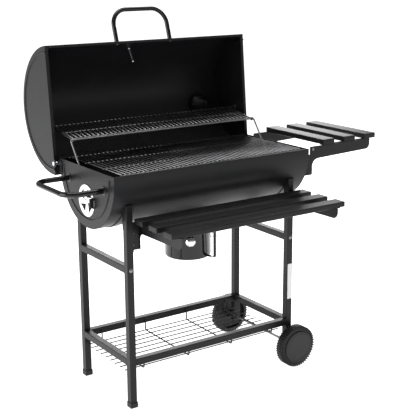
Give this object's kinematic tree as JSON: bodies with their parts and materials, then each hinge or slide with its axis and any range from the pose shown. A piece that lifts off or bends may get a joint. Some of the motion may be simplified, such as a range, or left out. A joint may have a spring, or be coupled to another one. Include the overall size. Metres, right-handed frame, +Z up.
{
  "type": "barrel charcoal grill cart",
  "caption": "Half-barrel charcoal grill with hinged lid and folding warming rack on a two-wheeled cart with slatted front and side shelves and a hanging ash can.",
  "frame": {"origin": "centre of the whole grill's footprint on the floor, lid open", "axes": "+Z up, -Y towards the cook, +X towards the wheels and the side shelf"},
  "size_m": [1.3236, 0.9831, 1.3443],
  "materials": {
    "satin_black": "satin powder coat",
    "gloss_black": "gloss enamel",
    "slat_black": "satin black paint",
    "heat_black": "matte heat-resistant black",
    "chrome_wire": "bright plated wire",
    "chrome": "polished",
    "zinc_steel": "bright zinc",
    "wheel_plastic": "matte, ribbed tread",
    "wheel_cap_plastic": "matte grey-black",
    "cap_plastic": "matte",
    "label_paper": "blank white sticker",
    "dial_face": "white enamel face",
    "glass": "clear flat lens"
  },
  "bodies": {
    "cart": {"leg_front_left": "satin_black", "leg_rear_left": "satin_black", "leg_front_right": "satin_black", "leg_rear_right": "satin_black", "tube_caps": "cap_plastic", "side_bar_upper_left": "satin_black", "side_bar_upper_right": "satin_black", "side_bar_lower_left": "satin_black", "side_bar_lower_right": "satin_black", "long_bar_front": "satin_black", "long_bar_rear": "satin_black", "wire_shelf": "chrome_wire", "axle": "zinc_steel", "cart_bolts": "zinc_steel", "barrel_shell": "satin_black", "barrel_end_left": "satin_black", "barrel_end_right": "satin_black", "cradle_strap_left": "satin_black", "cradle_strap_right": "satin_black", "hinge_plates": "satin_black", "hinge_pins": "zinc_steel", "side_handle": "gloss_black", "vent_rivet": "zinc_steel", "grate_supports": "heat_black", "ash_collar": "satin_black", "leg_label": "label_paper", "front_slat_inner": "slat_black", "front_slat_middle": "slat_black", "front_slat_outer": "slat_black", "front_bracket_left": "satin_black", "front_bracket_right": "satin_black", "side_slat_inner": "slat_black", "side_slat_middle": "slat_black", "side_slat_outer": "slat_black", "side_bracket_front": "satin_black", "side_bracket_rear": "satin_black"},
    "lid": {"lid_shell": "satin_black", "lid_end_left": "satin_black", "lid_end_right": "satin_black", "lid_handle": "gloss_black", "lid_bolts": "zinc_steel", "thermometer_case": "chrome", "thermometer_dial": "dial_face", "thermometer_glass": "glass", "chimney_pipe": "satin_black", "rack_hangers": "zinc_steel"},
    "chimney_cap": {"chimney_cap": "satin_black"},
    "vent_damper": {"vent_damper": "chrome"},
    "wheel_front": {"wheel_front": "wheel_plastic", "wheel_cap_front": "wheel_cap_plastic"},
    "wheel_rear": {"wheel_rear": "wheel_plastic", "wheel_cap_rear": "wheel_cap_plastic"},
    "rack_legs": {"rack_legs": "chrome_wire"},
    "warming_rack": {"warming_rack": "chrome_wire"},
    "cooking_grate": {"cooking_grate": "chrome_wire"},
    "charcoal_grate": {"charcoal_grate": "heat_black"},
    "ash_can": {"ash_can": "gloss_black", "ash_can_handle": "gloss_black", "ash_can_knob": "chrome", "ash_can_hook": "chrome_wire"}
  },
  "joints": [
    {"name": "lid_hinge", "type": "hinge", "parent": "cart", "child": "lid", "pos_m": [-0.10475, 0.13795, 0.816], "axis": [1, 0, 0], "range_deg": [0, 95]},
    {"name": "rack_leg_hinge", "type": "hinge", "parent": "cart", "child": "rack_legs", "pos_m": [-0.10475, -0.02505, 0.7905], "axis": [1, 0, 0], "range_deg": [0, 95]},
    {"name": "rack_hinge", "type": "hinge", "parent": "rack_legs", "child": "warming_rack", "pos_m": [-0.10475, 0.06018, 0.90781], "axis": [1, 0, 0], "range_deg": [-95, 0]},
    {"name": "chimney_cap_turn", "type": "hinge", "parent": "lid", "child": "chimney_cap", "pos_m": [0.23225, 0.47576, 0.92505], "axis": [0, 0.9962, -0.0872], "range_deg": [0, 45]},
    {"name": "vent_turn", "type": "hinge", "parent": "cart", "child": "vent_damper", "pos_m": [-0.51625, -0.06705, 0.7195], "axis": [1, 0, 0], "range_deg": [0, 45]},
    {"name": "wheel_front_spin", "type": "hinge", "parent": "cart", "child": "wheel_front", "pos_m": [0.24125, -0.28305, 0.08], "axis": [0, 1, 0], "continuous": true},
    {"name": "wheel_rear_spin", "type": "hinge", "parent": "cart", "child": "wheel_rear", "pos_m": [0.24125, 0.14895, 0.08], "axis": [0, 1, 0], "continuous": true},
    {"name": "cooking_grate_lift", "type": "slide", "parent": "cart", "child": "cooking_grate", "axis": [0, 0, 1], "range_m": [0, 0.015]},
    {"name": "charcoal_grate_lift", "type": "slide", "parent": "cart", "child": "charcoal_grate", "axis": [0, 0, 1], "range_m": [0, 0.015]},
    {"name": "ash_can_drop", "type": "slide", "parent": "cart", "child": "ash_can", "axis": [0, 0, -1], "range_m": [0, 0.04]}
  ],
  "couplings": [
    {"joint": "rack_leg_hinge", "follows": "lid_hinge", "ratio": 1},
    {"joint": "rack_hinge", "follows": "lid_hinge", "ratio": -1}
  ]
}
